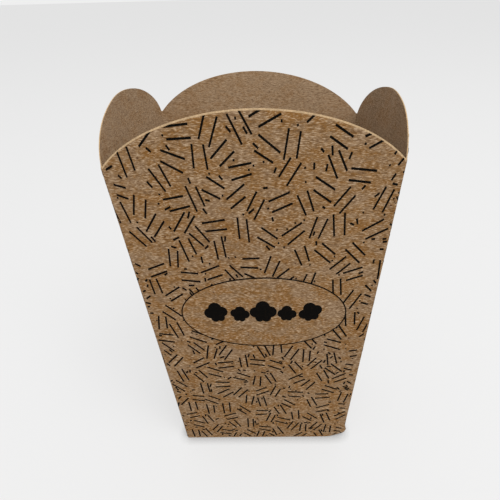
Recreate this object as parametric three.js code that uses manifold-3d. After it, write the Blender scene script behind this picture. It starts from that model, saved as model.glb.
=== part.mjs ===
// A takeaway popcorn box folded from one sheet of brown card: four walls that taper down to a small
// folded bottom, with an arched rim on every wall.
// Millimetres, +Z up, front toward -Y, and the middle of the bottom face at the origin.
import * as THREE from "three";
import { mergeVertices } from "three/addons/utils/BufferGeometryUtils.js";
import Module from "manifold-3d";

// The sheet and its folds
const CARD = 0.5;
const FOLD_INSIDE_RADIUS = 0.4;
const FLAP_GAP = 0.3;
const CARD_COLOUR = 0x8a6d52;

// The mouth, from corner to corner at the height of the corners
const MOUTH_FRONT = 100;
const MOUTH_BACK = 89.4;
const MOUTH_DEPTH = 69.3;
const CORNER_HEIGHT = 151.7;

// The bottom, from corner to corner on the ground
const FOOT_FRONT = 81;
const FOOT_BACK = 72.4;
const FOOT_DEPTH = 44.9;

// The arches of the rim, each part of an ellipse whose half width is SPREAD times half its wall
const FRONT_ARCH = 17.4;
const SIDE_ARCH = 15.9;
const FRONT_ARCH_SPREAD = 1.13;
const SIDE_ARCH_SPREAD = 1.01;
const SIDE_BULGE = 2.4;

// The flaps inside
const DUST_FLAP = 20;
const DUST_FLAP_TAPER = 5;
const TONGUE = 12;
const TONGUE_TAPER = 6;
const GLUE_FLAP = 12;
const GLUE_FLAP_TAPER = 7;
const GLUE_FLAP_FOOT = 5;
const GLUE_FLAP_BELOW_CORNER = 8;

// How finely the curves are cut into flats
const FRONT_STEPS = 30;
const SIDE_STEPS = 24;
const FOLD_STEPS = 4;
const HEIGHT_STEPS = 8;

const FOLD_RADIUS = FOLD_INSIDE_RADIUS + CARD;
const CUT_MARGIN = 1;
const WALLS = [
  { steps: FRONT_STEPS, arch: FRONT_ARCH, spread: FRONT_ARCH_SPREAD, bulge: 0 },
  { steps: SIDE_STEPS, arch: SIDE_ARCH, spread: SIDE_ARCH_SPREAD, bulge: SIDE_BULGE },
  { steps: FRONT_STEPS, arch: FRONT_ARCH, spread: FRONT_ARCH_SPREAD, bulge: 0 },
  { steps: SIDE_STEPS, arch: SIDE_ARCH, spread: SIDE_ARCH_SPREAD, bulge: SIDE_BULGE },
];

const wasm = await Module();
wasm.setup();

// Corners of the box at height z, anticlockwise from the front left, before any rounding.
function corners(z) {
  const k = z / CORNER_HEIGHT;
  const front = THREE.MathUtils.lerp(FOOT_FRONT, MOUTH_FRONT, k) / 2;
  const back = THREE.MathUtils.lerp(FOOT_BACK, MOUTH_BACK, k) / 2;
  const depth = THREE.MathUtils.lerp(FOOT_DEPTH, MOUTH_DEPTH, k) / 2;
  return [
    new THREE.Vector2(-front, -depth),
    new THREE.Vector2(front, -depth),
    new THREE.Vector2(back, depth),
    new THREE.Vector2(-back, depth),
  ];
}

// Outward normal of the wall that runs from corner a to corner b.
function outward(a, b) {
  const along = b.clone().sub(a).normalize();
  return new THREE.Vector2(along.y, -along.x);
}

// The same corners with each wall's line moved inward by its own inset: front, right, back, left.
function insetCorners(z, insets) {
  const c = corners(z);
  const normals = c.map((a, i) => outward(a, c[(i + 1) % 4]));
  return c.map((corner, i) => {
    const before = normals[(i + 3) % 4];
    const after = normals[i];
    const p = corner.dot(before) - insets[(i + 3) % 4];
    const q = corner.dot(after) - insets[i];
    const cross = before.cross(after);
    return new THREE.Vector2((p * after.y - q * before.y) / cross, (q * before.x - p * after.x) / cross);
  });
}

// Height of an arch at t, from -1 to 1 across its wall, as a share of the arch's full height.
function archShape(t, spread) {
  const end = Math.sqrt(1 - 1 / spread ** 2);
  const y = Math.sqrt(1 - (Math.min(1, Math.abs(t)) / spread) ** 2);
  return (y - end) / (1 - end);
}

// Half the flat length of a wall at height z, between its two folds.
function halfWall(wall, z) {
  const c = corners(z);
  return c[wall].distanceTo(c[(wall + 1) % 4]) / 2 - FOLD_RADIUS;
}

// Height of the rim where the line t of a wall meets the arch. The wall widens as it rises, so the
// height is found by halving the interval.
function rimHeight(wall, t) {
  const { arch, spread } = WALLS[wall];
  const flat = halfWall(wall, CORNER_HEIGHT);
  let low = CORNER_HEIGHT;
  let high = CORNER_HEIGHT + arch;
  for (let i = 0; i < 30; i++) {
    const z = (low + high) / 2;
    const rise = arch * archShape((t * halfWall(wall, z)) / flat, spread);
    if (z - CORNER_HEIGHT < rise) low = z;
    else high = z;
  }
  return low;
}

// The upright lines of the walls, in order round the box: those of each fold, then those of the wall
// after it, closer together near the folds where the arches are steep.
function uprights() {
  const lines = [];
  WALLS.forEach(({ steps }, wall) => {
    for (let i = 0; i <= FOLD_STEPS; i++)
      lines.push({ fold: wall, turn: i / FOLD_STEPS, top: CORNER_HEIGHT });
    for (let i = 1; i < steps; i++) {
      const t = Math.sin(Math.PI * (i / steps - 0.5));
      lines.push({ wall, t, top: rimHeight(wall, t) });
    }
  });
  return lines;
}

// Where an upright line passes height z on the face that lies `inset` inside the outer one.
function pointOn(line, z, inset) {
  const c = insetCorners(z, [inset, inset, inset, inset]);
  const radius = FOLD_RADIUS - inset;
  const normals = c.map((a, i) => outward(a, c[(i + 1) % 4]));
  const centre = (i) => {
    const [m, n] = [normals[(i + 3) % 4], normals[i]];
    return c[i].clone().addScaledVector(m.clone().add(n), -radius / (1 + m.dot(n)));
  };
  let p;
  if (line.fold !== undefined) {
    const [m, n] = [normals[(line.fold + 3) % 4], normals[line.fold]];
    const angle = Math.atan2(m.y, m.x) + line.turn * Math.acos(m.dot(n));
    p = centre(line.fold).add(new THREE.Vector2(Math.cos(angle), Math.sin(angle)).multiplyScalar(radius));
  } else {
    const n = normals[line.wall];
    const bulge = (WALLS[line.wall].bulge * z * (1 - line.t ** 2)) / CORNER_HEIGHT;
    p = centre(line.wall).lerp(centre((line.wall + 1) % 4), (1 + line.t) / 2);
    p.addScaledVector(n, radius + bulge);
  }
  return [p.x, p.y, z];
}

// The ring of four walls as one closed surface: an outer and an inner face, the rim and the foot.
function wallGeometry() {
  const lines = uprights();
  const rows = HEIGHT_STEPS + 1;
  const positions = [];
  for (const inset of [0, CARD])
    for (const line of lines)
      for (let row = 0; row < rows; row++)
        positions.push(...pointOn(line, (line.top * row) / HEIGHT_STEPS, inset));
  const at = (face, i, row) => (face * lines.length + (i % lines.length)) * rows + row;
  const triangles = [];
  const quad = (a, b, c, d) => triangles.push(a, b, c, a, c, d);
  const top = HEIGHT_STEPS;
  for (let i = 0; i < lines.length; i++) {
    for (let row = 0; row < top; row++) {
      quad(at(0, i, row), at(0, i + 1, row), at(0, i + 1, row + 1), at(0, i, row + 1));
      quad(at(1, i + 1, row), at(1, i, row), at(1, i, row + 1), at(1, i + 1, row + 1));
    }
    quad(at(0, i, top), at(0, i + 1, top), at(1, i + 1, top), at(1, i, top));
    quad(at(1, i, 0), at(1, i + 1, 0), at(0, i + 1, 0), at(0, i, 0));
  }
  const geometry = new THREE.BufferGeometry();
  geometry.setAttribute("position", new THREE.Float32BufferAttribute(positions, 3));
  geometry.setIndex(triangles);
  return geometry;
}

// A flat piece of card: an outline of Vector2 points, thickened along the third axis of the frame
// that the three axes and the origin give.
function plate(outline, thickness, axes = [[1, 0, 0], [0, 1, 0], [0, 0, 1]], origin = [0, 0, 0]) {
  const geometry = new THREE.ExtrudeGeometry(new THREE.Shape(outline), {
    depth: thickness,
    bevelEnabled: false,
    curveSegments: 1,
  });
  const frame = new THREE.Matrix4().makeBasis(...axes.map((v) => new THREE.Vector3(...v)));
  frame.setPosition(...origin);
  return geometry.applyMatrix4(frame);
}

// The bottom panel, folded in from the front wall. Its other three edges lie free.
function bottomPanel() {
  const free = CARD + FLAP_GAP;
  return plate(insetCorners(0, [CARD / 2, free, free, free]), CARD);
}

// The tongue of the bottom panel, turned up inside the back wall with its top corners cut away.
function tongue() {
  const free = CARD + FLAP_GAP;
  const root = insetCorners(0, [free, free, free, free]);
  const [right, left] = [root[2].x, root[3].x];
  const lean = (MOUTH_DEPTH - FOOT_DEPTH) / 2 / CORNER_HEIGHT;
  const outline = [
    [left, 0],
    [right, 0],
    [right, CARD],
    [right - TONGUE_TAPER, TONGUE],
    [left + TONGUE_TAPER, TONGUE],
    [left, CARD],
  ];
  const axes = [[1, 0, 0], [0, lean, 1], [0, -1, 0]];
  return plate(outline.map(([x, z]) => new THREE.Vector2(x, z)), CARD, axes, [0, root[2].y, 0]);
}

// A dust flap, folded in from a side wall onto the bottom panel. side is 1 for right and -1 for left.
function dustFlap(side) {
  const back = 2 * (CARD + FLAP_GAP);
  const root = insetCorners(0, [CARD + FLAP_GAP, CARD / 2, back, CARD / 2]);
  const [front, rear] = [root[1], root[2]];
  const tip = Math.min(front.x, rear.x) - DUST_FLAP;
  const outline = [
    new THREE.Vector2(side * tip, front.y + DUST_FLAP_TAPER),
    new THREE.Vector2(side * front.x, front.y),
    new THREE.Vector2(side * rear.x, rear.y),
    new THREE.Vector2(side * tip, rear.y - DUST_FLAP_TAPER),
  ];
  return plate(outline, CARD, undefined, [0, 0, CARD]);
}

// The glue flap, which runs from the left wall onto the inner face of the back wall and holds the
// sheet closed. Its outline lies in the plane of the back wall and follows the fold beside it.
function glueFlap() {
  const low = GLUE_FLAP_FOOT;
  const high = CORNER_HEIGHT - GLUE_FLAP_BELOW_CORNER;
  const lean = (MOUTH_DEPTH - FOOT_DEPTH) / 2 / CORNER_HEIGHT;
  const root = (z) => insetCorners(z, [CARD, CARD, CARD, CARD / 2])[3].x;
  const outline = [
    [root(low), low],
    [root(low + GLUE_FLAP_TAPER) + GLUE_FLAP, low + GLUE_FLAP_TAPER],
    [root(high - GLUE_FLAP_TAPER) + GLUE_FLAP, high - GLUE_FLAP_TAPER],
    [root(high), high],
  ];
  const axes = [[1, 0, 0], [0, lean, 1], [0, -1, 0]];
  const sunk = CARD / 2;
  const y = FOOT_DEPTH / 2 - CARD + sunk;
  return plate(outline.map(([x, z]) => new THREE.Vector2(x, z)), CARD + sunk, axes, [0, y, 0]);
}

// The waste outside the rounded fold along the foot of a wall: 0 front, 1 right, 3 left. Its section is
// the corner left outside an arc that touches the ground and the leaning wall, and its first and last
// flats run on past both.
function footFoldWaste(wall) {
  const c = corners(0);
  const [a, b] = [c[wall], c[(wall + 1) % 4]];
  const n = outward(a, b);
  const along = b.clone().sub(a).normalize();
  const lean = Math.atan((corners(CORNER_HEIGHT)[wall].dot(n) - a.dot(n)) / CORNER_HEIGHT);
  const inward = FOLD_RADIUS * (1 / Math.cos(lean) - Math.tan(lean));
  const arc = [];
  for (let i = 0; i <= FOLD_STEPS; i++) {
    const angle = (i / FOLD_STEPS) * (Math.PI / 2 - lean);
    const [out, up] = [Math.sin(angle), 1 - Math.cos(angle)];
    arc.push(new THREE.Vector2(FOLD_RADIUS * out - inward, FOLD_RADIUS * up));
  }
  const beyond = (p, q) => p.clone().add(p.clone().sub(q).setLength(CUT_MARGIN));
  const under = beyond(arc[0], arc[1]);
  const beside = beyond(arc[FOLD_STEPS], arc[FOLD_STEPS - 1]);
  const section = [under, ...arc.slice(1, -1), beside, new THREE.Vector2(beside.x, under.y)];
  const length = a.distanceTo(b) + 2 * CUT_MARGIN;
  const end = b.clone().addScaledVector(along, CUT_MARGIN);
  const axes = [[n.x, n.y, 0], [0, 0, 1], [-along.x, -along.y, 0]];
  return plate(section, length, axes, [end.x, end.y, 0]);
}

// A closed surface as a solid that can be joined and cut.
function solid(geometry) {
  const bare = geometry.clone();
  bare.deleteAttribute("normal");
  bare.deleteAttribute("uv");
  const merged = mergeVertices(bare, 1e-4);
  return new wasm.Manifold(
    new wasm.Mesh({
      numProp: 3,
      vertProperties: merged.attributes.position.array,
      triVerts: new Uint32Array(merged.index.array),
    }),
  );
}

function surface(made) {
  const mesh = made.getMesh();
  const geometry = new THREE.BufferGeometry();
  geometry.setAttribute("position", new THREE.BufferAttribute(mesh.vertProperties, mesh.numProp));
  geometry.setIndex(new THREE.BufferAttribute(mesh.triVerts, 1));
  geometry.computeVertexNormals();
  return geometry;
}

const flaps = [bottomPanel(), tongue(), dustFlap(1), dustFlap(-1), glueFlap()];
let sheet = solid(wallGeometry());
for (const flap of flaps) sheet = sheet.add(solid(flap));
for (const wall of [0, 1, 3]) sheet = sheet.subtract(solid(footFoldWaste(wall)));

const card = new THREE.MeshStandardMaterial({ color: CARD_COLOUR, roughness: 0.9, metalness: 0 });
const popcornBox = new THREE.Mesh(surface(sheet), card);
popcornBox.name = "popcorn_box";

const model = new THREE.Group();
model.add(popcornBox);

export default model;
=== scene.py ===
"""A takeaway popcorn box of printed brown card, dressed over its solid model.

The box is one sheet of card: four walls that taper down to a folded bottom, with an arched rim on
every wall. Every point of the sheet comes from one function, wall_point, so that the card and the
ink on it follow the same surface. Lengths are in metres, +Z is up and the front wall is toward -Y.
"""

import math

import bpy
import numpy as np
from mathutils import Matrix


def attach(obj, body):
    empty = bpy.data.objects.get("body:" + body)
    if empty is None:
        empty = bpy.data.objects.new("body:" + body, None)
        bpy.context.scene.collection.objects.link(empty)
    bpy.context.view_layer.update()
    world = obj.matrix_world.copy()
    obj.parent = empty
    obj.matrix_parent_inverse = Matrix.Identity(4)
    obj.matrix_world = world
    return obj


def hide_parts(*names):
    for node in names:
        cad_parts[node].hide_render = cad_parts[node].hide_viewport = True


bl_info = {
    "name": "Popcorn Box",
    "version": (1, 0, 0),
    "blender": (4, 5, 0),
    "location": "View3D > Sidebar > Popcorn Box",
    "description": "Builds a folded kraft card popcorn box with its print and a studio stage",
    "category": "Add Mesh",
}

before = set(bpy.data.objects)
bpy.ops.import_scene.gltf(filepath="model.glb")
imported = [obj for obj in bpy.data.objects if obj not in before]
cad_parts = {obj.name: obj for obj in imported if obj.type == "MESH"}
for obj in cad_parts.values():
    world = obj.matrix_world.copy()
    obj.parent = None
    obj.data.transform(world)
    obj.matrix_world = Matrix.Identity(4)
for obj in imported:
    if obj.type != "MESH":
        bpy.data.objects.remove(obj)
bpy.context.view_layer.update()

MM = 0.001
BODY = "root"
CARD_NODE = "popcorn_box"
FRONT, RIGHT, BACK, LEFT = range(4)


def srgb(red, green, blue):
    """A colour as a screen shows it, 0 to 255, in the linear light that shaders use."""
    share = np.array([red, green, blue]) / 255
    light = np.where(share <= 0.04045, share / 12.92, ((share + 0.055) / 1.055) ** 2.4)
    return tuple(float(v) for v in light)


def length(name, description, millimetres):
    return bpy.props.FloatProperty(
        name=name, description=description, default=millimetres * MM, unit="LENGTH", precision=5
    )


def colour(name, description, *screen):
    return bpy.props.FloatVectorProperty(
        name=name, description=description, default=srgb(*screen), subtype="COLOR", min=0, max=1
    )


def number(name, description, value):
    return bpy.props.FloatProperty(name=name, description=description, default=value)


def angle(name, description, degrees):
    return bpy.props.FloatProperty(
        name=name, description=description, default=math.radians(degrees), subtype="ANGLE"
    )


# Sizes and colours


class BoxSizes(bpy.types.PropertyGroup):
    """Sizes of the folded sheet."""

    card: length("Card", "Thickness of the card", 0.5)
    fold_inside_radius: length("Fold radius", "Radius inside each fold", 0.4)
    flap_gap: length("Flap gap", "Gap between a free flap edge and the wall beside it", 0.3)
    mouth_front: length("Mouth front", "Front wall's width between its top corners", 100)
    mouth_back: length("Mouth back", "Back wall's width between its top corners", 89.4)
    mouth_depth: length("Mouth depth", "Front to back between the top corners", 69.3)
    corner_height: length("Corner height", "Height of the top corners", 151.7)
    foot_front: length("Foot front", "Front wall's width at the bottom", 81)
    foot_back: length("Foot back", "Back wall's width at the bottom", 72.4)
    foot_depth: length("Foot depth", "Front to back at the bottom", 44.9)
    front_arch: length("Front arch", "Rise of the front and back arches", 17.4)
    side_arch: length("Side arch", "Rise of the side arches", 15.9)
    side_bulge: length("Side bulge", "How far a side wall bows out at the mouth", 2.4)
    dust_flap: length("Dust flap", "Length of each dust flap", 20)
    dust_flap_taper: length("Dust flap taper", "How much a dust flap narrows on each side", 5)
    tongue: length("Tongue", "Height of the bottom panel's tongue", 12)
    tongue_taper: length("Tongue taper", "Width of each cut corner of the tongue", 6)
    glue_flap: length("Glue flap", "Width of the glue flap", 12)
    glue_flap_taper: length("Glue flap taper", "Height of each slanted end of the glue flap", 7)
    glue_flap_foot: length("Glue flap foot", "Height of the glue flap's lower end", 5)
    glue_flap_below: length("Glue flap top", "How far the glue flap ends below the corners", 8)
    waviness: length("Waviness", "How far the handled card strays from flat", 0.22)
    # The strip under the rim takes the cut edge's pale colour: partly rubbed wear, partly a painted
    # highlight along the rim.
    wear_and_highlight_edge: length("Worn edge", "Width of the rubbed strip along the outer edge of the rim", 0.5)
    worn_depth: length("Worn depth", "How far the rubbed strip slants in at the rim", 0.16)
    rack: length("Rack", "How far two opposite mouth corners sit high and the others low", 1.21)
    foot_shift: length("Foot shift", "How far the handled box leans to the left from its foot up", 2.16)
    foot_twist: angle("Foot twist", "How far the handled box is turned at its foot", 2.58)
    flare: number(
        "Flare", "Share of width moved from foot to mouth, as the solid has its foot too wide", 0.0159
    )
    corner_reach: length("Corner reach", "Size of the knocked foot corner", 5)
    corner_push: length("Corner push", "How far the knocked foot corner bulges", 1.0)
    corner_lift: length("Corner lift", "How far the knocked foot corner is off the ground", 2.8)
    front_arch_spread: number(
        "Front arch spread", "Half width of the front arch's ellipse over half the wall", 1.13
    )
    side_arch_spread: number(
        "Side arch spread", "Half width of a side arch's ellipse over half the wall", 1.01
    )


class BoxColours(bpy.types.PropertyGroup):
    """Colours of the card and the ink."""

    outside: colour("Outside", "Outer face of the card", 128, 96, 59)
    # The inside colour is lighter than the card's own: painted light that makes up for the shade inside
    # the box.
    inside: colour("Inside", "Inner face of the card", 156, 129, 100)
    # Cut edge: the card's pale core, and on the strip under the rim also a painted highlight.
    edge: colour("Cut edge", "Cut edge of the card", 186, 158, 122)
    stain: colour("Stain", "Warm brown patches in the card", 124, 82, 28)
    pale_patch: colour("Pale patch", "Greyer patches in the card", 134, 110, 86)
    shade: colour("Dark fibre", "Dark fibres in the card", 82, 55, 28)
    fibre: colour("Pale fibre", "Pale fibres in the card", 186, 162, 134)
    fleck: colour("Fleck", "Dark flecks in the card", 70, 40, 20)
    ink: colour("Ink", "Printing ink", 6, 5, 4)


class PrintSizes(bpy.types.PropertyGroup):
    """Sizes of the print, as it lies at the height of the top corners."""

    stroke: length("Stroke", "Usual length of a long stroke", 7.7)
    stroke_width: length("Stroke width", "Width of a stroke", 0.65)
    pair_gap: length("Pair gap", "Distance between the two strokes of a pair", 3.55)
    clearance: length("Clearance", "Least distance between two pairs", 1.25)
    tick: length("Tick", "Usual length of a short stroke", 1.9)
    dot: length("Dot", "Width of a dot", 0.6)
    ink: length("Ink film", "How far the ink stands off the card", 0.05)
    oval_side: length("Oval side", "How far right of the wall's middle the oval is", 2.1)
    oval_down: length("Oval down", "How far below the corners the oval's middle is", 57)
    oval_width: length("Oval width", "Whole width of the oval", 72.6)
    oval_rise: length("Oval rise", "Whole rise of the oval", 34.6)
    oval_line: length("Oval line", "Width of the oval's line", 0.54)
    puff: length("Puff", "Radius of the middle puff", 6.0)
    puff_spacing: length("Puff spacing", "Distance between neighbouring puffs", 10.4)
    drawn_out: number("Drawn out", "How many times the print is stretched upwards", 1.27)
    foot_weight: number(
        "Foot weight", "Share by which strokes at the foot are wider than at the corners", 0.4
    )
    seed: bpy.props.IntProperty(name="Seed", description="Start of the scatter", default=7)


class StageSettings(bpy.types.PropertyGroup):
    """Camera, light and ground."""

    ground: colour("Ground", "Ground and background", 239, 239, 239)
    camera: bpy.props.FloatVectorProperty(
        name="Camera",
        description="Place of the camera",
        default=(0.00893, -0.17496, 0.20061),
        subtype="TRANSLATION",
    )
    pitch: angle("Pitch", "Downward tilt", 30.153)
    yaw: angle("Yaw", "Turn to the right", -3.987)
    roll: angle("Roll", "Turn about the view", -1.663)
    focal_pixels: number("Focal length", "In pixels of a picture 500 wide", 450)
    key: number("Key", "Power of the key lamp", 21.5)
    fill: number("Fill", "Strength of the world", 0.8)
    key_distance: length("Key distance", "From the box to the key lamp", 1600)
    key_size: length("Key size", "Side of the key lamp", 1100)
    key_height: angle("Key height", "Angle above the ground", 58)
    key_side: angle("Key side", "Angle right of the front", 28)
    shadow: number("Shadow", "How much of the ground's look is its own shading", 0.3)
    bounce: number("Bounce", "Share of the ground's colour that it throws back", 0.78)
    contact: number("Contact", "Strength of the ground's shade close to the box", 1.0)
    contact_reach: length("Contact reach", "Reach of the ground's shade close to the box", 5)


# The folded sheet


def fold_radius(sizes):
    return sizes.fold_inside_radius + sizes.card


def corners(sizes, z):
    """Corners of the box at heights z, anticlockwise from the front left, as an array 4 by n by 2.

    Each width is a straight blend from the foot at z = 0 to the mouth at the corner height, and the
    same line runs on above it.
    """
    share = z / sizes.corner_height
    front = sizes.foot_front + (sizes.mouth_front - sizes.foot_front) * share
    back = sizes.foot_back + (sizes.mouth_back - sizes.foot_back) * share
    depth = sizes.foot_depth + (sizes.mouth_depth - sizes.foot_depth) * share
    x = np.stack([-front, front, back, -back]) / 2
    y = np.stack([-depth, -depth, depth, depth]) / 2
    return np.stack([x, y], axis=-1)


def outward(corner):
    """Outward unit normals of the four walls: each wall's direction turned a quarter clockwise."""
    along = np.roll(corner, -1, axis=0) - corner
    along /= np.linalg.norm(along, axis=-1, keepdims=True)
    return np.stack([along[..., 1], -along[..., 0]], axis=-1)


def fold_centres(sizes, z):
    """Centre of each fold's rounding, one radius inside both walls, and the walls' normals."""
    corner = corners(sizes, z)
    normal = outward(corner)
    before = np.roll(normal, 1, axis=0)
    dot = (before * normal).sum(axis=-1, keepdims=True)
    return corner - fold_radius(sizes) * (before + normal) / (1 + dot), normal


def half_flat(sizes, wall, z):
    """Half the length of a wall's flat part at heights z, between its two folds."""
    centre, _ = fold_centres(sizes, z)
    return np.linalg.norm(centre[(wall + 1) % 4] - centre[wall], axis=-1) / 2


# Of each wave in the bow: its share, then the turns in radians for one t, one rise and one wall
BOW_WAVES = ((1.0, 2.3, 4.1, 1.7), (0.6, 5.1, -6.7, 2.9), (0.4, 8.3, 11.0, 0.8))


def bow(sizes, wall, t, z):
    """How far a wall stands out of its plane.

    A side wall bows by the side bulge times 1 - t squared, growing from nothing at the foot. On top
    of that, three long sine waves of unlike lengths and phases make the card slightly uneven.
    """
    rise = z / sizes.corner_height
    bulge = sizes.side_bulge if wall in (RIGHT, LEFT) else 0.0
    waves = sum(share * np.sin(a * t + b * rise + c * wall) for share, a, b, c in BOW_WAVES)
    return (bulge * rise + sizes.waviness * waves * rise) * (1 - t**2)


def knocked_corner(sizes, x, y, z):
    """How far points near the front right foot corner go outward and up.

    Both moves shrink as exp(-d^2), with d the distance to the corner in plan over the corner's
    reach. The push is greatest at a height of one reach, and the lift at the foot.
    """
    corner = corners(sizes, np.zeros(1))[1, 0]
    reach = sizes.corner_reach
    near = np.exp(-((x - corner[0]) ** 2 + (y - corner[1]) ** 2) / reach**2)
    push = sizes.corner_push * near * np.exp(-4 * (z / reach - 1) ** 2)
    return push, sizes.corner_lift * near * np.exp(-2 * z / reach)


def handled(sizes, points):
    """Points of the solid's box moved to where they are in a box folded by hand.

    Each level turns about the upright axis by the foot twist and shifts sideways by the foot shift,
    both times its share of the way down. A point sinks by the rack times x y z, each as a share of
    its value at the mouth's back right corner. The knocked foot corner comes on top. A level is also
    wider by the flare times its rise less a half. That is not from folding: it makes up for a foot
    that the solid has a little too wide.
    """
    x, y, z = np.moveaxis(points, -1, 0)
    rise = z / sizes.corner_height
    corner = corners(sizes, np.array([sizes.corner_height]))[:, 0]
    sink = sizes.rack * x * y / abs(corner[0, 0] * corner[0, 1]) * rise
    push, lift = knocked_corner(sizes, x, y, z)
    wide = x * (1 + sizes.flare * (rise - 0.5)) + push
    turn = sizes.foot_twist * (1 - rise)
    across = wide * np.cos(turn) - y * np.sin(turn) + sizes.foot_shift * (1 - rise)
    back = wide * np.sin(turn) + y * np.cos(turn)
    return np.stack([across, back, z - sink + lift], axis=-1)


def wall_point(sizes, wall, t, turn, z, lift):
    """A point of the sheet, as an array n by 3.

    t runs from -1 to 1 across the flat part of the wall, and turn from -1 to 1 round the near half of
    the fold at either end. The point lies on the line between the two fold centres, moved out by the
    fold radius, the bow and the lift, along the wall's normal turned by half a fold times turn.
    """
    t, turn, z, lift = np.broadcast_arrays(*(np.asarray(v, dtype=float) for v in (t, turn, z, lift)))
    centre, normal = fold_centres(sizes, z)
    first, last = centre[wall], centre[(wall + 1) % 4]
    here = normal[wall]
    beside = np.where(turn[..., None] < 0, normal[(wall + 3) % 4], normal[(wall + 1) % 4])
    half_fold = np.arccos(np.clip((here * beside).sum(axis=-1), -1, 1)) / 2
    angle = np.arctan2(here[..., 1], here[..., 0]) + turn * half_fold
    out = np.stack([np.cos(angle), np.sin(angle)], axis=-1)
    reach = fold_radius(sizes) + lift + bow(sizes, wall, t, z)
    flat = first + (last - first) * ((1 + t) / 2)[..., None]
    return handled(sizes, np.concatenate([flat + out * reach[..., None], z[..., None]], axis=-1))


def arch_shape(t, spread):
    """An elliptical arch as a share of its height: 1 in the middle and 0 at t = -1 and 1."""
    end = math.sqrt(1 - 1 / spread**2)
    return (np.sqrt(1 - (np.minimum(1, np.abs(t)) / spread) ** 2) - end) / (1 - end)


def arch_of(sizes, wall):
    if wall in (FRONT, BACK):
        return sizes.front_arch, sizes.front_arch_spread
    return sizes.side_arch, sizes.side_arch_spread


HALVINGS = 30


def rim_height(sizes, wall, t):
    """Height of the rim where the line t of a wall meets the arch.

    The wall widens as it rises, so the height is found by halving an interval again and again.
    """
    arch, spread = arch_of(sizes, wall)
    mouth = half_flat(sizes, wall, np.array([sizes.corner_height]))
    low = np.full_like(t, sizes.corner_height)
    high = low + arch
    for _ in range(HALVINGS):
        z = (low + high) / 2
        rise = arch * arch_shape(t * half_flat(sizes, wall, z) / mouth, spread)
        below = z - sizes.corner_height < rise
        low, high = np.where(below, z, low), np.where(below, high, z)
    return low


def grid_faces(rows, columns, closed=False):
    """Quads of a grid of points, row by row; a closed grid joins its last column to its first."""
    row, column = np.meshgrid(np.arange(rows - 1), np.arange(columns if closed else columns - 1))
    row, column = row.ravel(), column.ravel()
    beside = (column + 1) % columns
    below, above = row * columns, (row + 1) * columns
    return np.stack([below + column, below + beside, above + beside, above + column], axis=1)


def make_mesh(name, points, faces, materials, face_material=None, smooth=False):
    """A mesh object at the origin from an array of points and a list of face arrays."""
    mesh = bpy.data.meshes.new(name)
    mesh.from_pydata(points.tolist(), [], [face for block in faces for face in block.tolist()])
    for material in materials:
        mesh.materials.append(material)
    if face_material is not None:
        mesh.polygons.foreach_set("material_index", face_material.astype(np.int32))
    mesh.polygons.foreach_set("use_smooth", np.full(len(mesh.polygons), smooth))
    mesh.update()
    made = bpy.data.objects.new(name, mesh)
    bpy.context.scene.collection.objects.link(made)
    return made


WALL_STEPS = {FRONT: 72, RIGHT: 56, BACK: 72, LEFT: 56}
HALF_FOLD_STEPS = 4
HEIGHT_STEPS = 60
ROWS_TO_FOOT = 1.25
MOST_WEAR_AND_HIGHLIGHT = 3.0


def upright_lines(sizes, wall):
    """t, turn, rim height and strip height of a wall's upright lines, from fold middle to fold middle.

    The lines are closer together near the folds, where the arches are steep. The pale strip under the
    rim, partly rubbed wear and partly a painted highlight, is as wide across the rim as its set width, so
    its height is that width times the root of 1 + slope squared, and at most three widths.
    """
    steps = np.arange(WALL_STEPS[wall] + 1) / WALL_STEPS[wall]
    t = np.sin(np.pi * (steps - 0.5))
    rim = rim_height(sizes, wall, t)
    slope = np.gradient(rim, t * half_flat(sizes, wall, rim))
    wear_and_highlight_height = sizes.wear_and_highlight_edge * np.minimum(np.sqrt(1 + slope**2), MOST_WEAR_AND_HIGHLIGHT)
    half = np.arange(1, HALF_FOLD_STEPS + 1) / HALF_FOLD_STEPS
    ends = ((HALF_FOLD_STEPS, HALF_FOLD_STEPS - 1),)
    turn = np.concatenate([-half[::-1], np.zeros_like(t), half[:-1]])
    blend = np.concatenate([half[::-1], np.zeros_like(t), half[:-1]])
    t, rim, wear_and_highlight_height = (np.pad(line, ends, mode="edge") for line in (t, rim, wear_and_highlight_height))
    return t, turn, rim, wear_and_highlight_height + (sizes.wear_and_highlight_edge - wear_and_highlight_height) * blend


def shell_face(sizes, lift, wear_and_highlight_share):
    """One face of the ring of walls, as rows of points from the foot to the rim.

    The rows are closer together at the foot. They end below the rim by the given share of the height of
    the pale strip, which is partly rubbed wear and partly a painted highlight.
    """
    share = ((np.arange(HEIGHT_STEPS + 1) / HEIGHT_STEPS) ** ROWS_TO_FOOT)[:, None]
    blocks = []
    for wall in range(4):
        t, turn, rim, wear_and_highlight_height = upright_lines(sizes, wall)
        top = (rim - wear_and_highlight_height * wear_and_highlight_share)[None]
        blocks.append(wall_point(sizes, wall, t[None], turn[None], share * top, lift))
    return np.concatenate(blocks, axis=1)


OUTSIDE, INSIDE, EDGE = range(3)


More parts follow.
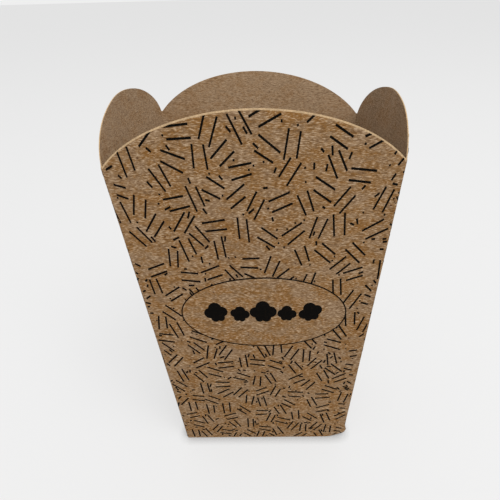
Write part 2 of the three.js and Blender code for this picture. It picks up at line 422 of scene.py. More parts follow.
def wall_ring(sizes):
    """The four walls as one closed surface: outer face, pale strip of wear and painted highlight, rim,
    inner face and foot.
    """
    outer = shell_face(sizes, 0.0, 1.0)
    strip = shell_face(sizes, -sizes.worn_depth, 0.0)[-1:]
    inner = shell_face(sizes, -sizes.card, 0.0)
    outer = np.concatenate([outer, strip])
    rows, columns, _ = outer.shape
    size, top = rows * columns, (rows - 1) * columns
    faces_out = grid_faces(rows, columns, closed=True)
    faces_in = grid_faces(rows - 1, columns, closed=True)[:, ::-1] + size
    around = np.arange(columns)
    beside = (around + 1) % columns
    last = size + top - columns
    rim = np.stack([top + around, top + beside, last + beside, last + around], axis=1)
    foot = np.stack([size + around, size + beside, beside, around], axis=1)
    kinds = np.full(len(faces_out) + len(faces_in) + 2 * columns, EDGE)
    # The top row of the outer face, the strip under the rim, takes the cut edge's colour: partly rubbed
    # wear, partly a painted highlight.
    kinds[: len(faces_out)] = np.where(faces_out.max(axis=1) < top, OUTSIDE, EDGE)
    kinds[len(faces_out) : len(faces_out) + len(faces_in)] = INSIDE
    points = np.concatenate([outer.reshape(-1, 3), inner.reshape(-1, 3)])
    return points, np.concatenate([faces_out, faces_in, rim, foot]), kinds


def inset_corner_points(sizes, z, insets):
    """Corners at height z with each wall's line moved in by its own inset: front, right, back, left.

    A corner solves the two lines' equations, normal dot point = distance, by Cramer's rule.
    """
    corner = corners(sizes, np.array([z]))[:, 0]
    normal = outward(corner)
    before = np.roll(normal, 1, axis=0)
    inset = np.array(insets)
    p = (corner * before).sum(axis=1) - np.roll(inset, 1)
    q = (corner * normal).sum(axis=1) - inset
    cross = before[:, 0] * normal[:, 1] - before[:, 1] * normal[:, 0]
    x = (p * normal[:, 1] - q * before[:, 1]) / cross
    y = (q * before[:, 0] - p * normal[:, 0]) / cross
    return np.stack([x, y], axis=1)


def slab(outline, thickness, axes=np.eye(3), origin=(0, 0, 0), below=OUTSIDE, above=INSIDE):
    """A flat outline thickened along the third axis: two caps and a band of edge quads."""
    outline = np.asarray(outline, dtype=float)
    count = len(outline)
    flat = np.concatenate([outline, np.zeros((count, 1))], axis=1)
    low = flat @ np.asarray(axes, dtype=float) + np.asarray(origin, dtype=float)
    high = low + np.asarray(axes, dtype=float)[2] * thickness
    ring = np.arange(count)
    beside = (ring + 1) % count
    band = np.stack([ring, beside, beside + count, ring + count], axis=1)
    caps = [ring[::-1], ring + count]
    kinds = [below, above] + [EDGE] * count
    return np.concatenate([low, high]), caps, band, np.array(kinds)


def flaps(sizes):
    """The bottom panel, its tongue, the two dust flaps and the glue flap, each as a thin slab."""
    card, gap = sizes.card, sizes.flap_gap
    free = card + gap
    foot = inset_corner_points(sizes, 0.0, [card / 2, free, free, free])
    lean = (sizes.mouth_depth - sizes.foot_depth) / 2 / sizes.corner_height
    upright = [[1, 0, 0], [0, lean, 1], [0, -1, 0]]
    reach = sizes.corner_reach
    nipped = [foot[0], foot[1] - [reach, 0], foot[1] + [0, reach], foot[2], foot[3]]
    pieces = [slab(nipped, card)]
    left, right, taper = foot[3, 0], foot[2, 0], sizes.tongue_taper
    tongue = [
        (left, 0),
        (right, 0),
        (right, card),
        (right - taper, sizes.tongue),
        (left + taper, sizes.tongue),
        (left, card),
    ]
    pieces.append(slab(tongue, card, upright, (0, foot[2, 1], 0)))
    back = 2 * free
    root = inset_corner_points(sizes, 0.0, [card / 2, card / 2, back, card / 2])
    tip = min(root[1, 0], root[2, 0]) - sizes.dust_flap
    near, far, slant = root[1], root[2], sizes.dust_flap_taper
    for side in (1, -1):
        dust = [(tip, near[1] + slant), tuple(near), tuple(far), (tip, far[1] - slant)]
        dust = [(side * x, y) for x, y in dust][::side]
        pieces.append(slab(dust, card, origin=(0, 0, card)))
    low, high = sizes.glue_flap_foot, sizes.corner_height - sizes.glue_flap_below
    slope = sizes.glue_flap_taper

    def seam(z):
        return inset_corner_points(sizes, z, [card, card, card, card / 2])[3, 0]

    glue = [
        (seam(low), low),
        (seam(low + slope) + sizes.glue_flap, low + slope),
        (seam(high - slope) + sizes.glue_flap, high - slope),
        (seam(high), high),
    ]
    sunk = card / 2
    pieces.append(slab(glue, card + sunk, upright, (0, sizes.foot_depth / 2 - card + sunk, 0)))
    return pieces


def build_card(sizes, materials):
    """The walls and the flaps as one mesh of closed surfaces."""
    points, ring_faces, kinds = wall_ring(sizes)
    blocks, points, kinds = [ring_faces], [points], [kinds]
    start = len(points[0])
    for piece_points, caps, band, piece_kinds in flaps(sizes):
        blocks += [cap[None] + start for cap in caps]
        blocks.append(band + start)
        points.append(handled(sizes, piece_points))
        kinds.append(piece_kinds)
        start += len(piece_points)
    made = make_mesh("card_sheet", np.concatenate(points), blocks, materials, np.concatenate(kinds))
    wall_faces = np.zeros(len(made.data.polygons), dtype=bool)
    wall_faces[: len(ring_faces)] = kinds[0] != EDGE
    made.data.polygons.foreach_set("use_smooth", wall_faces)
    made.data.set_sharp_from_angle(angle=math.radians(40))
    return made


# Print


def wall_widths(sizes, wall):
    """A wall's whole width between its corners, at the mouth and at the foot."""
    ends = corners(sizes, np.array([sizes.corner_height, 0.0]))
    across = np.linalg.norm(ends[(wall + 1) % 4] - ends[wall], axis=-1)
    return across[0], across[1]


def taper(sizes):
    """How much wider the front wall is at the mouth than at the foot, as a share of the foot."""
    mouth, foot = wall_widths(sizes, FRONT)
    return mouth / foot - 1


def artwork_height(sizes, prints):
    return sizes.corner_height * (1 + taper(sizes)) / prints.drawn_out


def artwork_to_wall(sizes, prints, art):
    """Where points of the flat artwork land on a wall, as distance from its middle line and height.

    The artwork is a rectangle that is squeezed into the tapering wall as a picture is in perspective:
    with e the share of the way down and k the mouth's width over the foot's less one, the distance
    shrinks by 1 + k e, and the height falls by e (1 + k) / (1 + k e) of the corner height.
    """
    k = taper(sizes)
    down = -art[..., 1] / artwork_height(sizes, prints)
    shrink = 1 + k * down
    x = art[..., 0] / shrink
    z = sizes.corner_height * (1 - down * (1 + k) / shrink)
    return np.stack([x, z], axis=-1)


def on_wall(sizes, wall, flat, lift):
    """Points given by distance from a wall's middle line and height, on the sheet and lifted off it.

    Past the end of the flat part, a point runs on round the fold, as far as the fold's middle.
    """
    x, z = flat[..., 0], flat[..., 1]
    half = half_flat(sizes, wall, z.ravel()).reshape(z.shape)
    t = np.clip(x / half, -1, 1)
    half_fold = fold_radius(sizes) * np.pi / 4
    turn = np.sign(x) * np.clip((np.abs(x) - half) / half_fold, 0, 1)
    return wall_point(sizes, wall, t.ravel(), turn.ravel(), z.ravel(), lift).reshape(*z.shape, 3)


def wall_outline(sizes, wall):
    """The printed outline of a wall, anticlockwise: the foot's ends and the arch from end to end.

    The arch is carried on to the middle of each fold along its last slope, which keeps it convex.
    """
    margin = fold_radius(sizes)
    half_fold = fold_radius(sizes) * np.pi / 4
    foot = half_flat(sizes, wall, np.array([margin]))[0] + half_fold
    t = np.cos(np.pi * np.arange(41) / 40)
    rim = rim_height(sizes, wall, t)
    x = t * half_flat(sizes, wall, rim)
    rim = rim - sizes.wear_and_highlight_edge
    slope = (rim[1] - rim[0]) / (x[0] - x[1])
    end = [x[0] + half_fold, rim[0] - slope * half_fold]
    arch = np.stack([x, rim], axis=1)
    return np.concatenate([[[-foot, margin], [foot, margin], end], arch, [[-end[0], end[1]]]])


def clip_inside(start, end, outline):
    """The shares of each segment, from 0 to 1, between which it lies inside a convex outline."""
    edge = np.roll(outline, -1, axis=0) - outline
    inward = np.stack([-edge[:, 1], edge[:, 0]], axis=1)
    depth = ((start[:, None] - outline[None]) * inward[None]).sum(axis=-1)
    speed = (end - start) @ inward.T
    with np.errstate(divide="ignore", invalid="ignore"):
        cross = -depth / speed
    low = np.max(np.where(speed > 0, cross, 0.0), axis=1)
    high = np.min(np.where(speed < 0, cross, 1.0), axis=1)
    return np.clip(low, 0, 1), np.clip(high, 0, 1)


def clip_outside_oval(start, end, middle, radii):
    """The shares of each segment between which it lies outside an oval.

    With both ends scaled so that the oval is a circle of radius 1, the crossings are the roots of a
    quadratic. A segment that crosses twice keeps its longer end.
    """
    p = (start - middle) / radii
    d = (end - start) / radii
    a, b, c = (d * d).sum(axis=1), (p * d).sum(axis=1), (p * p).sum(axis=1) - 1
    root = np.sqrt(np.maximum(b * b - a * c, 0))
    first, second = (-b - root) / a, (-b + root) / a
    hit = (b * b > a * c) & (second > 0) & (first < 1)
    keep_start = first > 1 - second
    low = np.where(hit & ~keep_start, second, 0.0)
    high = np.where(hit & keep_start, first, 1.0)
    return np.clip(low, 0, 1), np.clip(high, 0, 1)


TURNS_TRIED = 8
POINTS_ON_STROKE = 9
BESIDE = 0.5
LEAST_TURN = math.radians(20)
MOST_POINTS = 60000
PAIRS_THROWN, TICKS_THROWN, DOTS_THROWN = 5000, 400, 300


class Marks:
    """The marks already printed: points along their strokes, the strokes' directions, and middles."""

    def __init__(self, most):
        self.points = np.zeros((most, 2))
        self.turns = np.zeros(most)
        self.middles = np.zeros((most, 2))
        self.count = self.marks = 0

    def crowds(self, middle, core):
        away = self.middles[: self.marks] - middle
        return self.marks > 0 and (away**2).sum(axis=1).min() < core**2

    def near(self, middle, reach):
        away = np.abs(self.points[: self.count] - middle).max(axis=1)
        return np.nonzero(away < reach)[0], np.nonzero(away < BESIDE * reach)[0]

    def add(self, middle, points, turn):
        self.points[self.count : self.count + len(points)] = points
        self.turns[self.count : self.count + len(points)] = turn
        self.middles[self.marks] = middle
        self.count += len(points)
        self.marks += 1


def scatter(rng, area, shape, tries, spacing, printed):
    """Throws marks at random and keeps each that stays clear of those already there.

    shape(rng) gives a mark's strokes about its middle, lying level, as an array of segments n by 2 by
    2. Each mark is tried at several turns, and the first that fits is kept. Its distance to the others
    is that between points spread along its strokes and all of theirs that lie within reach of its
    middle. A mark of more than one stroke also keeps its direction at least the least turn off that
    of its nearest neighbours. area is the width, the top and the bottom of the artwork, and spacing the
    reach, the clearance and the least distance between two middles.
    """
    width, top, bottom = area
    reach, clearance, core = spacing
    shares = np.linspace(0, 1, POINTS_ON_STROKE)[None, None, :, None]
    kept = []
    for _ in range(tries):
        middle = np.array([rng.uniform(-width / 2, width / 2), rng.uniform(bottom, top)])
        if printed.crowds(middle, core):
            continue
        level = shape(rng)
        turns = rng.uniform(0, np.pi) + np.arange(TURNS_TRIED) * np.pi / TURNS_TRIED
        strokes = turned(level, turns) + middle
        spread = strokes[:, :, :1] * (1 - shares) + strokes[:, :, 1:] * shares
        own = spread.reshape(len(turns), -1, 1, 2)
        near, beside = printed.near(middle, reach)
        gaps = ((own - printed.points[near]) ** 2).sum(axis=-1)
        fits = gaps.min(axis=(1, 2), initial=np.inf) >= clearance**2
        if len(level) > 1:
            off = np.abs(np.sin(printed.turns[beside] - turns[:, None]))
            fits &= off.min(axis=1, initial=1) >= math.sin(LEAST_TURN)
        if fits.any():
            pick = np.argmax(fits)
            printed.add(middle, own[pick, :, 0], turns[pick])
            kept.append(strokes[pick])
    return np.concatenate(kept)


def turned(segments, turns):
    """Segments n by 2 by 2 turned about the origin by each of some angles."""
    cos, sin = np.cos(turns)[:, None, None], np.sin(turns)[:, None, None]
    x, y = segments[..., 0], segments[..., 1]
    return np.stack([x * cos - y * sin, x * sin + y * cos], axis=-1)


MOST_LEAN = 0.09


def stroke_pair(sizes):
    """A mark of two strokes side by side, nearly parallel, of nearly the same length."""

    def shape(rng):
        gap = sizes.pair_gap * rng.uniform(0.85, 1.15)
        segments = []
        for side in (-0.5, 0.5):
            lean = rng.uniform(-MOST_LEAN, MOST_LEAN)
            along = np.array([math.cos(lean), math.sin(lean)])
            half = sizes.stroke * rng.uniform(0.42, 0.56)
            middle = np.array([sizes.stroke * rng.uniform(-0.09, 0.09), gap * side])
            segments.append([middle - along * half, middle + along * half])
        return np.array(segments)

    return shape


def single_mark(usual_length, spread):
    """A mark of one short stroke; its length strays from the usual one by the given share."""

    def shape(rng):
        half = usual_length / 2 * rng.uniform(1 - spread, 1 + spread)
        return np.array([[[-half, 0], [half, 0]]])

    return shape


def strips_to_mesh(sizes, wall, left, right, steps, ink):
    """Thin closed slabs over strips of the wall, one for each pair of side lines.

    left and right hold the two ends of each side line. A strip has steps + 1 cross lines, each with
    four points: both sides, lifted off the card by the ink and sunk into it by as much.
    """
    share = (np.arange(steps + 1) / steps)[None, :, None]
    sides = [line[:, :1] * (1 - share) + line[:, 1:] * share for line in (left, right)]
    rails = [on_wall(sizes, wall, side, lift) for lift in (ink, -ink) for side in sides]
    points = np.stack(rails, axis=2)
    count = len(left)
    one = np.arange(steps)[:, None] * 4
    round_four = np.array([[0, 1, 5, 4], [1, 3, 7, 5], [3, 2, 6, 7], [2, 0, 4, 6]])
    body = (one[:, :, None] + round_four[None]).reshape(-1, 4)
    last = steps * 4
    ends = np.array([[0, 2, 3, 1], [last, last + 1, last + 3, last + 2]])
    faces = np.concatenate([body, ends])
    offset = (np.arange(count) * (steps + 1) * 4)[:, None, None]
    return points.reshape(-1, 3), (faces[None] + offset).reshape(-1, 4)


def oval_place(prints):
    """Middle and half sizes of the oval in the artwork."""
    middle = np.array([prints.oval_side, -prints.oval_down])
    return middle, np.array([prints.oval_width / 2, prints.oval_rise / 2])


def shorten(start, end, shares):
    low, high = (share[:, None] for share in shares)
    return start + (end - start) * low, start + (end - start) * high


def clipped_strips(sizes, prints, wall, segments, width):
    """Side lines of the strokes on a wall, cut off at the oval and at the wall's outline.

    A stroke is wider by the foot weight times the share of the way down.
    """
    start, end = segments[:, 0], segments[:, 1]
    down = -(start + end)[:, 1:] / 2 / artwork_height(sizes, prints)
    width = width * (1 + prints.foot_weight * down)
    along = (end - start) / np.linalg.norm(end - start, axis=1, keepdims=True)
    across = np.stack([-along[:, 1], along[:, 0]], axis=1) * width / 2
    outline = wall_outline(sizes, wall)
    lines, good = [], np.ones(len(segments), dtype=bool)
    for side in (-1, 1):
        a, b = start + side * across, end + side * across
        if wall == FRONT:
            shares = clip_outside_oval(a, b, *oval_place(prints))
            good &= shares[1] - shares[0] > 0.02
            a, b = shorten(a, b, shares)
        a, b = artwork_to_wall(sizes, prints, a), artwork_to_wall(sizes, prints, b)
        shares = clip_inside(a, b, outline)
        good &= shares[1] - shares[0] > 0.02
        lines.append(np.stack(shorten(a, b, shares), axis=1))
    return lines[0][good], lines[1][good]


def scattered_marks(sizes, prints, wall):
    """The long strokes, ticks and dots that cover one wall, each with its width and cross lines."""
    rng = np.random.default_rng(prints.seed + wall)
    mouth, _ = wall_widths(sizes, wall)
    arch, _ = arch_of(sizes, wall)
    area = (mouth + prints.stroke, arch + prints.stroke / 2, -artwork_height(sizes, prints))
    printed = Marks(MOST_POINTS)
    reach, gap = 1.8 * prints.stroke, prints.clearance
    loose = (reach, 0.7 * gap, gap)
    pairs = scatter(rng, area, stroke_pair(prints), PAIRS_THROWN, (reach, gap, prints.pair_gap), printed)
    ticks = scatter(rng, area, single_mark(prints.tick, 0.4), TICKS_THROWN, loose, printed)
    dots = scatter(rng, area, single_mark(prints.dot, 0.2), DOTS_THROWN, loose, printed)
    return [
        (pairs, prints.stroke_width, 2),
        (ticks, prints.stroke_width, 1),
        (dots, prints.dot, 1),
    ]


def build_dashes(sizes, prints, material):
    """All the scattered marks of the four walls as one mesh."""
    points, faces, start = [], [], 0
    for wall in range(4):
        for segments, width, steps in scattered_marks(sizes, prints, wall):
            lines = clipped_strips(sizes, prints, wall, segments, width)
            block, quads = strips_to_mesh(sizes, wall, *lines, steps, prints.ink)
            points.append(block)
            faces.append(quads + start)
            start += len(block)
    return make_mesh("printed_dashes", np.concatenate(points), faces, [material])


def band_on_wall(sizes, prints, outer, inner):
    """A closed ring of ink between two closed curves of the artwork: points and quads.

    Its four rails are both curves lifted off the card by the ink, then both sunk by as much.
    """
    curves = [artwork_to_wall(sizes, prints, curve) for curve in (outer, inner)]
    rails = [on_wall(sizes, FRONT, curve, lift) for lift in (prints.ink, -prints.ink) for curve in curves]
    outer_top, inner_top, outer_low, inner_low = range(4)
    count = len(outer)
    here = np.arange(count)
    beside = (here + 1) % count
    round_band = (inner_top, outer_top, outer_low, inner_low, inner_top)
    around = list(zip(round_band, round_band[1:]))
    faces = [
        np.stack([a * count + here, b * count + here, b * count + beside, a * count + beside], axis=1)
        for a, b in around
    ]
    return np.concatenate(rails), np.concatenate(faces)


def build_oval(sizes, prints, material):
    """The thin line round the oval: the band between two ellipses half a line apart from it."""
    middle, radii = oval_place(prints)
    angle = np.arange(192) * 2 * np.pi / 192
    around = np.stack([np.cos(angle), np.sin(angle)], axis=1)
    outer, inner = (middle + around * (radii + side * prints.oval_line) for side in (0.5, -0.5))
    points, faces = band_on_wall(sizes, prints, outer, inner)
    return make_mesh("printed_oval", points, [faces], [material])


def puff_outline(angle, spots, radii):
    """Distance from a puff's middle to the far side of a ring of round lobes, at each angle.

    A lobe at distance c and bearing b with radius r reaches c cos(a - b) + sqrt(r^2 - c^2 sin^2(a - b))
    at the angle a, where the ray meets it, and the farthest lobe counts.
    """
    distance = np.hypot(spots[:, 0], spots[:, 1])[:, None]
    off = angle[None] - np.arctan2(spots[:, 1], spots[:, 0])[:, None]
    inside = radii[:, None] ** 2 - (distance * np.sin(off)) ** 2
    reach = distance * np.cos(off) + np.sqrt(np.maximum(inside, 0))
    return np.where((inside > 0) & (reach > 0), reach, 0).max(axis=0)


def patch_on_wall(sizes, prints, middle, outline):
    """A closed patch of ink inside a curve of the artwork: points and a list of face arrays.

    Its rings are the outline and the middle, lifted off the card by the ink and sunk by as much, with
    triangles from the middle to the outline and quads between the two outlines.
    """
    curve = artwork_to_wall(sizes, prints, np.concatenate([middle[None], outline]))
    points = [on_wall(sizes, FRONT, curve, lift) for lift in (prints.ink, -prints.ink)]
    count = len(outline)
    here = np.arange(count) + 1
    beside = here % count + 1
    low = count + 1
    top = np.stack([np.zeros(count, dtype=int), here, beside], axis=1)
    bottom = np.stack([np.full(count, low), low + beside, low + here], axis=1)
    band = np.stack([here, low + here, low + beside, beside], axis=1)
    return np.concatenate(points), [top, bottom, band]


PUFF_BEARINGS = (15, 88, 165, 232, 308)
PUFF_REACH = (0.55, 0.5, 0.55, 0.42, 0.42)
PUFF_ROUND = (0.45, 0.55, 0.45, 0.34, 0.34)


def build_puffs(sizes, prints, material):
    """A row of popped corn in the oval: each puff is a patch with three big lobes and two small."""
    rng = np.random.default_rng(prints.seed + 40)
    middle, _ = oval_place(prints)
    angle = np.arange(120) * 2 * np.pi / 120
    around = np.stack([np.cos(angle), np.sin(angle)], axis=1)
    points, faces, start = [], [], 0
    for place in range(-2, 3):
        size = prints.puff * (1.0, 0.72, 0.9)[abs(place)]
        bearing = np.radians(PUFF_BEARINGS) + rng.uniform(-0.35, 0.35) + rng.uniform(-0.12, 0.12, 5)
        reach = size * np.array(PUFF_REACH) * rng.uniform(0.92, 1.08, 5)
        spots = reach[:, None] * np.stack([np.cos(bearing), np.sin(bearing)], axis=1)
        outline = puff_outline(angle, spots, size * np.array(PUFF_ROUND) * rng.uniform(0.94, 1.06, 5))
        centre = middle + np.array([prints.puff_spacing * place, (-1) ** place * 0.06 * size])
        block, parts = patch_on_wall(sizes, prints, centre, centre + around * outline[:, None])
        points.append(block)
        faces += [part + start for part in parts]
        start += len(block)
    return make_mesh("printed_puffs", np.concatenate(points), faces, [material])


# Materials


def add_node(tree, kind, inputs=None, **settings):
    """A shader node with its settings, and its inputs given as values or as other nodes' sockets."""
    made = tree.nodes.new(kind)
    for name, value in settings.items():
        setattr(made, name, value)
    for name, value in (inputs or {}).items():
        socket = made.inputs[name]
        if isinstance(value, bpy.types.NodeSocket):
            tree.links.new(value, socket)
        else:
            socket.default_value = value
    return made


def calculate(tree, operation, *values):
    """One number worked out from values or other nodes' sockets."""
    made = add_node(tree, "ShaderNodeMath", dict(enumerate(values)), operation=operation)
    return made.outputs[0]


def new_material(name):
    material = bpy.data.materials.new(name)
    material.use_nodes = True
    tree = material.node_tree
    return material, tree, tree.nodes["Principled BSDF"]


def matt(tree, surface, tint, roughness, specular):
    tree.links.new(tint, surface.inputs["Base Color"])
    surface.inputs["Roughness"].default_value = roughness
    surface.inputs["Specular IOR Level"].default_value = specular


def ramp(tree, factor, low, high):
    """A smooth step from 0 at low to 1 at high."""
    made = add_node(
        tree,
        "ShaderNodeMapRange",
        {"Value": factor, "From Min": low, "From Max": high, "To Min": 0.0, "To Max": 1.0},
        interpolation_type="SMOOTHSTEP",
    )
    return made.outputs["Result"]


def mix(tree, factor, first, second, amount=1.0):
    """The second colour laid over the first, by a mask times an amount."""
    scaled = calculate(tree, "MULTIPLY", factor, amount)
    made = add_node(tree, "ShaderNodeMix", {0: scaled}, data_type="RGBA")
    for socket, value in ((made.inputs[6], first), (made.inputs[7], second)):
        if isinstance(value, bpy.types.NodeSocket):
            tree.links.new(value, socket)
        else:
            socket.default_value = (*value, 1)
    return made.outputs[2]


def noise(tree, place, scale, detail=2.0, roughness=0.5):
    made = add_node(
        tree,
        "ShaderNodeTexNoise",
        {"Vector": place, "Scale": scale, "Detail": detail, "Roughness": roughness},
    )
    return made.outputs["Fac"]


def stretched(tree, place, scale):
    return add_node(tree, "ShaderNodeMapping", {"Vector": place, "Scale": scale}).outputs["Vector"]


# Cells per metre of the noises in the card
SWAY, BROAD, PATCH, COARSE, STRAND, GRAIN, FLECKS = 140.0, 22.0, 160.0, 1500.0, 3200.0, 2400.0, 380.0
SWAY_REACH = 0.002


def kraft_material(name, face, colours, stain, fibre, fleck):
    """Uncoated brown card.

    The face colour carries, in turn, broad darker areas, warm and greyer patches a few millimetres
    wide, coarse and fine fibres, both dark and pale, a grain, and a few dark flecks. The patches and
    the fibres run level and waver. The fibres and the grain also lift the surface.
    """
    material, tree, surface = new_material(name)
    place = add_node(tree, "ShaderNodeTexCoord").outputs["Object"]
    sway = add_node(tree, "ShaderNodeTexNoise", {"Vector": place, "Scale": SWAY, "Detail": 1.0})
    wavering = add_node(
        tree,
        "ShaderNodeVectorMath",
        {0: sway.outputs["Color"], 1: (SWAY_REACH,) * 3, 2: place},
        operation="MULTIPLY_ADD",
    ).outputs["Vector"]
    level = stretched(tree, wavering, (0.25, 0.25, 1.0))
    broad = noise(tree, place, BROAD)
    patch = noise(tree, stretched(tree, wavering, (0.6, 0.6, 1.0)), PATCH, 7.0, 0.8)
    coarse = noise(tree, level, COARSE, 1.0)
    strand = noise(tree, level, STRAND, 1.0)
    fine = noise(tree, place, GRAIN, 1.0)
    dark, pale = tuple(colours.shade), tuple(colours.fibre)
    tint = mix(tree, ramp(tree, broad, 0.62, 0.36), face, tuple(v * 0.78 for v in face), 0.6)
    tint = mix(tree, ramp(tree, patch, 0.46, 0.6), tint, tuple(colours.stain), stain)
    tint = mix(tree, ramp(tree, patch, 0.54, 0.4), tint, tuple(colours.pale_patch), stain * 0.9)
    for threads, amount in ((coarse, 0.2), (strand, 1.0)):
        tint = mix(tree, ramp(tree, threads, 0.5, 0.32), tint, dark, fibre * amount)
        tint = mix(tree, ramp(tree, threads, 0.52, 0.7), tint, pale, fibre * amount)
    tint = mix(tree, ramp(tree, fine, 0.5, 0.25), tint, dark, fibre * 0.43)
    spots = add_node(tree, "ShaderNodeTexVoronoi", {"Vector": place, "Scale": FLECKS})
    rare = add_node(tree, "ShaderNodeSeparateColor", {"Color": spots.outputs["Color"]})
    near = ramp(tree, spots.outputs["Distance"], 0.2, 0.08)
    few = ramp(tree, rare.outputs[0], 0.84, 0.88)
    tint = mix(tree, calculate(tree, "MULTIPLY", near, few), tint, tuple(colours.fleck), fleck)
    relief = calculate(tree, "ADD", fine, strand)
    bump = add_node(tree, "ShaderNodeBump", {"Height": relief, "Strength": 0.5, "Distance": 0.0001})
    tree.links.new(bump.outputs["Normal"], surface.inputs["Normal"])
    matt(tree, surface, tint, 0.88, 0.2)
    return material


def edge_and_highlight_material(colours):
    """The cut edge of the card, where the pale core shows, with fine layers along it. It also colours the
    strip under the rim, where the pale colour is partly rubbed wear and partly a painted highlight along
    the rim.
    """
    material, tree, surface = new_material("card_cut_edge_and_highlight")
    place = add_node(tree, "ShaderNodeTexCoord").outputs["Object"]
    fuzz = noise(tree, place, 1500.0, 2.0)
    core = tuple(colours.edge)
    tint = mix(tree, ramp(tree, fuzz, 0.35, 0.7), tuple(v * 0.72 for v in core), core)
    matt(tree, surface, tint, 0.9, 0.15)
    return material


def ink_material(colours):
    """Black ink soaked into card: matte, and a little thin over the grain."""
    material, tree, surface = new_material("black_ink")
    place = add_node(tree, "ShaderNodeTexCoord").outputs["Object"]
    fine = noise(tree, place, 2600.0, 2.0, 0.6)
    ink = tuple(colours.ink)
    thin = tuple(0.6 * v + 0.4 * w * 0.12 for v, w in zip(ink, colours.outside))
    tint = mix(tree, ramp(tree, fine, 0.55, 0.75), ink, thin)
    matt(tree, surface, tint, 0.85, 0.05)
    return material


# Operators


def ride_card(piece):
    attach(piece, BODY)


class POPCORN_OT_card(bpy.types.Operator):
    """Build the folded card sheet in place of its plain solid"""

    bl_idname = "popcorn_box.card"
    bl_label = "Card Sheet"

    def execute(self, context):
        colours = context.scene.popcorn_colours
        materials = [
            kraft_material("kraft_outside", tuple(colours.outside), colours, 0.68, 0.62, 0.85),
            # The inner face takes the lighter inside colour, painted light for the shade inside the box.
            kraft_material("kraft_inside_painted_light", tuple(colours.inside), colours, 0.36, 0.42, 0.5),
            edge_and_highlight_material(colours),
        ]
        sheet = build_card(context.scene.popcorn_sizes, materials)
        ride_card(sheet)
        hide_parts(CARD_NODE)
        return {"FINISHED"}


def print_on_card(scene, build):
    """Build a printed piece in the ink that all of them share."""
    ink = bpy.data.materials.get("black_ink") or ink_material(scene.popcorn_colours)
    ride_card(build(scene.popcorn_sizes, scene.popcorn_print, ink))


class POPCORN_OT_dashes(bpy.types.Operator):
    """Print the scattered strokes, ticks and dots on the four walls"""

    bl_idname = "popcorn_box.dashes"
    bl_label = "Dashes"

    def execute(self, context):
        print_on_card(context.scene, build_dashes)
        return {"FINISHED"}


class POPCORN_OT_oval(bpy.types.Operator):
    """Print the oval on the front wall and the row of puffs inside it"""

    bl_idname = "popcorn_box.oval"
    bl_label = "Oval"

    def execute(self, context):
        for build in (build_oval, build_puffs):
            print_on_card(context.scene, build)
        return {"FINISHED"}


def seen_by_camera(tree):
    """1 for what the camera sees straight, in a mirror or through glass, and 0 for other light."""
    rays = add_node(tree, "ShaderNodeLightPath").outputs
    either = calculate(tree, "MAXIMUM", rays["Is Camera Ray"], rays["Is Glossy Ray"])
    return calculate(tree, "MAXIMUM", either, rays["Is Transmission Ray"])


def mix_shader(tree, factor, first, second):
    made = tree.nodes.new("ShaderNodeMixShader")
    if isinstance(factor, bpy.types.NodeSocket):
        tree.links.new(factor, made.inputs[0])
    else:
        made.inputs[0].default_value = factor
    tree.links.new(first, made.inputs[1])
    tree.links.new(second, made.inputs[2])
    return made.outputs[0]


def plain_background(tree, ground, fill):
    """A world of the ground's colour to the camera, and of plain white light to everything else."""
    seen = add_node(tree, "ShaderNodeBackground", {"Color": (*ground, 1), "Strength": 1.0})
    light = add_node(tree, "ShaderNodeBackground", {"Color": (1, 1, 1, 1), "Strength": fill})
    both = mix_shader(tree, seen_by_camera(tree), light.outputs[0], seen.outputs[0])
    add_node(tree, "ShaderNodeOutputWorld", {"Surface": both})


def ground_material(stage):
    """A ground of even colour to the camera that keeps a share of its own shading, so its shadow.

    Close to the box it is darker still, by what hides the open sky from it.
    """
    material, tree, _ = new_material("stage_ground")
    tree.nodes.clear()
    ground = tuple(stage.ground)
    thrown = tuple(v * stage.bounce for v in ground)
    own = add_node(tree, "ShaderNodeBsdfDiffuse", {"Color": (*thrown, 1)})
    open_sky = add_node(tree, "ShaderNodeAmbientOcclusion", {"Distance": stage.contact_reach}, samples=3)
    lit = calculate(tree, "MULTIPLY_ADD", open_sky.outputs["AO"], stage.contact, 1 - stage.contact)
    even = add_node(tree, "ShaderNodeEmission", {"Color": (*ground, 1), "Strength": lit})
    seen = mix_shader(tree, stage.shadow, even.outputs[0], own.outputs[0])
    both = mix_shader(tree, seen_by_camera(tree), own.outputs[0], seen)
    add_node(tree, "ShaderNodeOutputMaterial", {"Surface": both})
    return material


def camera_turn(stage):
    """The camera's axes as columns: right, up and backward, from its yaw, pitch and roll."""
    cos_p, sin_p = math.cos(stage.pitch), math.sin(stage.pitch)
    cos_y, sin_y = math.cos(stage.yaw), math.sin(stage.yaw)
    forward = np.array([sin_y * cos_p, cos_y * cos_p, -sin_p])
    right = np.array([cos_y, -sin_y, 0.0])
    up = np.cross(right, forward)
    cos_r, sin_r = math.cos(stage.roll), math.sin(stage.roll)
    return np.stack([cos_r * right + sin_r * up, cos_r * up - sin_r * right, -forward], axis=1)


GROUND_HALF = 12.0
KEY_AIM = 0.09
SENSOR, PICTURE = 36.0, 500.0


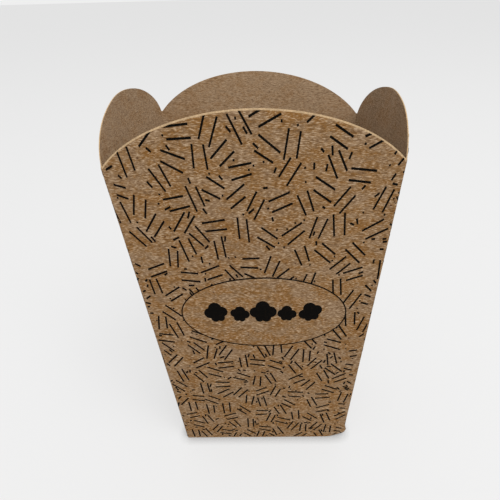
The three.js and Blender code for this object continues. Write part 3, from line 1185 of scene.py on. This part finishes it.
class POPCORN_OT_stage(bpy.types.Operator):
    """Set the ground, the light and the camera"""

    bl_idname = "popcorn_box.stage"
    bl_label = "Stage"

    def execute(self, context):
        scene = context.scene
        stage = scene.popcorn_stage
        self.make_ground(stage)
        self.make_lights(scene, stage)
        self.make_camera(scene, stage)
        scene.view_settings.view_transform = "Standard"
        return {"FINISHED"}

    def make_ground(self, stage):
        half = GROUND_HALF
        points = np.array([[-half, -half, 0], [half, -half, 0], [half, half, 0], [-half, half, 0]])
        material = ground_material(stage)
        make_mesh("ground", points, [np.array([[0, 1, 2, 3]])], [material])

    def make_lights(self, scene, stage):
        world = bpy.data.worlds.new("studio")
        world.use_nodes = True
        world.node_tree.nodes.clear()
        plain_background(world.node_tree, tuple(stage.ground), stage.fill)
        scene.world = world
        lamp = bpy.data.lights.new("key", "AREA")
        lamp.energy = stage.key
        lamp.size = stage.key_size
        key = bpy.data.objects.new("key", lamp)
        level = math.cos(stage.key_height)
        across, back = level * math.sin(stage.key_side), -level * math.cos(stage.key_side)
        toward = np.array([across, back, math.sin(stage.key_height)])
        key.location = toward * stage.key_distance + np.array([0, 0, KEY_AIM])
        key.rotation_euler = (math.pi / 2 - stage.key_height, 0, stage.key_side)
        scene.collection.objects.link(key)

    def make_camera(self, scene, stage):
        data = bpy.data.cameras.new("camera")
        data.sensor_width = SENSOR
        data.lens = stage.focal_pixels * SENSOR / PICTURE
        data.clip_start = 0.01
        camera = bpy.data.objects.new("camera", data)
        matrix = np.eye(4)
        matrix[:3, :3] = camera_turn(stage)
        matrix[:3, 3] = stage.camera
        camera.matrix_world = matrix.T.tolist()
        scene.collection.objects.link(camera)
        scene.camera = camera


class POPCORN_PT_panel(bpy.types.Panel):
    """Sizes, colours and steps of the popcorn box"""

    bl_label = "Popcorn Box"
    bl_idname = "POPCORN_PT_panel"
    bl_space_type = "VIEW_3D"
    bl_region_type = "UI"
    bl_category = "Popcorn Box"

    def draw(self, context):
        layout = self.layout
        for group in (name for name, _ in GROUPS):
            box = layout.box()
            settings = getattr(context.scene, group)
            for name in settings.__annotations__:
                box.prop(settings, name)
        for step in STEPS:
            layout.operator(step.bl_idname)


GROUPS = (
    ("popcorn_sizes", BoxSizes),
    ("popcorn_colours", BoxColours),
    ("popcorn_print", PrintSizes),
    ("popcorn_stage", StageSettings),
)
STEPS = (POPCORN_OT_card, POPCORN_OT_dashes, POPCORN_OT_oval, POPCORN_OT_stage)


def register():
    for name, group in GROUPS:
        bpy.utils.register_class(group)
        setattr(bpy.types.Scene, name, bpy.props.PointerProperty(type=group))
    for step in (*STEPS, POPCORN_PT_panel):
        bpy.utils.register_class(step)


def unregister():
    for step in (POPCORN_PT_panel, *reversed(STEPS)):
        bpy.utils.unregister_class(step)
    for name, group in reversed(GROUPS):
        delattr(bpy.types.Scene, name)
        bpy.utils.unregister_class(group)


def main():
    register()
    bpy.ops.popcorn_box.card()
    bpy.ops.popcorn_box.dashes()
    bpy.ops.popcorn_box.oval()
    bpy.ops.popcorn_box.stage()


if __name__ == "__main__":
    main()
